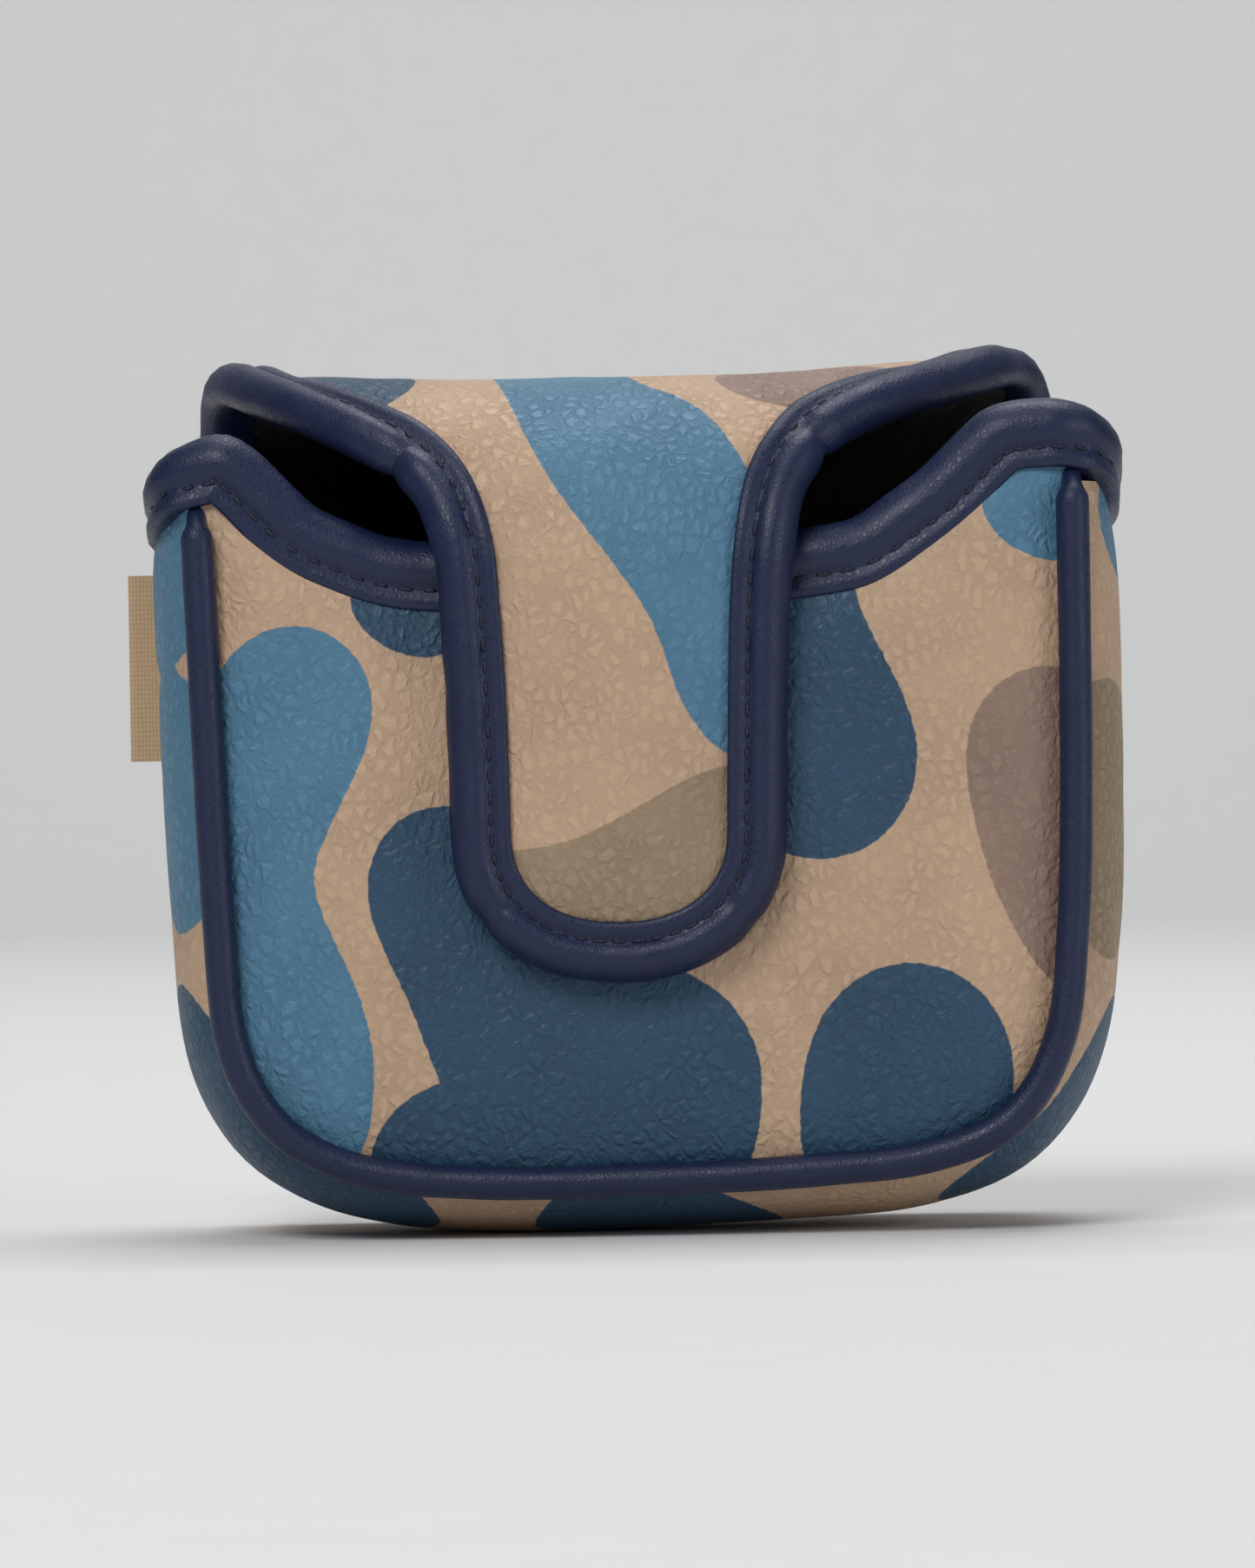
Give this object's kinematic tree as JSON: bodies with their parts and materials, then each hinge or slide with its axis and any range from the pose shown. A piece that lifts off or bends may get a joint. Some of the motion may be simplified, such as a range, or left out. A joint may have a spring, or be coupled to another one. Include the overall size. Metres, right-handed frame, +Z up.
{
  "type": "putter head cover",
  "caption": "Padded leather pouch for a mallet putter head, with a flap folded over the top, a strap held down the front by hidden magnets, bound edges and piped seams.",
  "frame": {"origin": "centre of the flat underside of the gusset", "axes": "X is the width, +X to the viewer's right from the front; the front panel faces -Y; +Z is up towards the flap"},
  "size_m": [0.135, 0.0579, 0.1154],
  "materials": {
    "printed_leather": "pebbled synthetic leather, tan with soft blue, sky and taupe blobs, satin",
    "binding_leather": "thin navy binding leather, fine pebble, satin sheen",
    "foam": "soft sheet foam",
    "fleece_lining": "brushed black fleece",
    "thread": "bonded navy sewing thread",
    "magnet": "nickel-plated disc magnet",
    "piping_cord": "twisted filler cord",
    "label_ribbon": "woven beige ribbon, bare"
  },
  "bodies": {
    "pouch": {"front_leather": "printed_leather", "front_foam": "foam", "front_lining": "fleece_lining", "front_magnets": "magnet", "gusset_leather": "printed_leather", "gusset_foam": "foam", "gusset_lining": "fleece_lining", "back_leather": "printed_leather", "back_foam": "foam", "back_lining": "fleece_lining", "front_welt": "binding_leather", "front_welt_cord": "piping_cord", "back_welt": "binding_leather", "back_welt_cord": "piping_cord", "mouth_binding": "binding_leather", "mouth_thread": "thread", "side_binding_left": "binding_leather", "side_binding_right": "binding_leather", "side_thread": "thread", "crease_binding_left": "binding_leather", "crease_binding_right": "binding_leather", "side_label": "label_ribbon", "label_thread": "thread"},
    "flap": {"flap_leather": "printed_leather", "flap_foam": "foam", "flap_lining": "fleece_lining", "flap_binding_left": "binding_leather", "flap_binding_right": "binding_leather", "flap_thread": "thread"},
    "strap": {"strap_leather": "printed_leather", "strap_foam": "foam", "strap_lining": "fleece_lining", "strap_binding": "binding_leather", "strap_thread": "thread", "strap_magnets": "magnet"}
  },
  "joints": [
    {"name": "flap_crease", "type": "hinge", "parent": "pouch", "child": "flap", "pos_m": [0, 0.01185, 0.11585], "axis": [-1, 0, 0], "range_deg": [0, 150]},
    {"name": "strap_shoulder", "type": "hinge", "parent": "flap", "child": "strap", "pos_m": [0, -0.03135, 0.08835], "axis": [-1, 0, 0], "range_deg": [0, 60]}
  ]
}
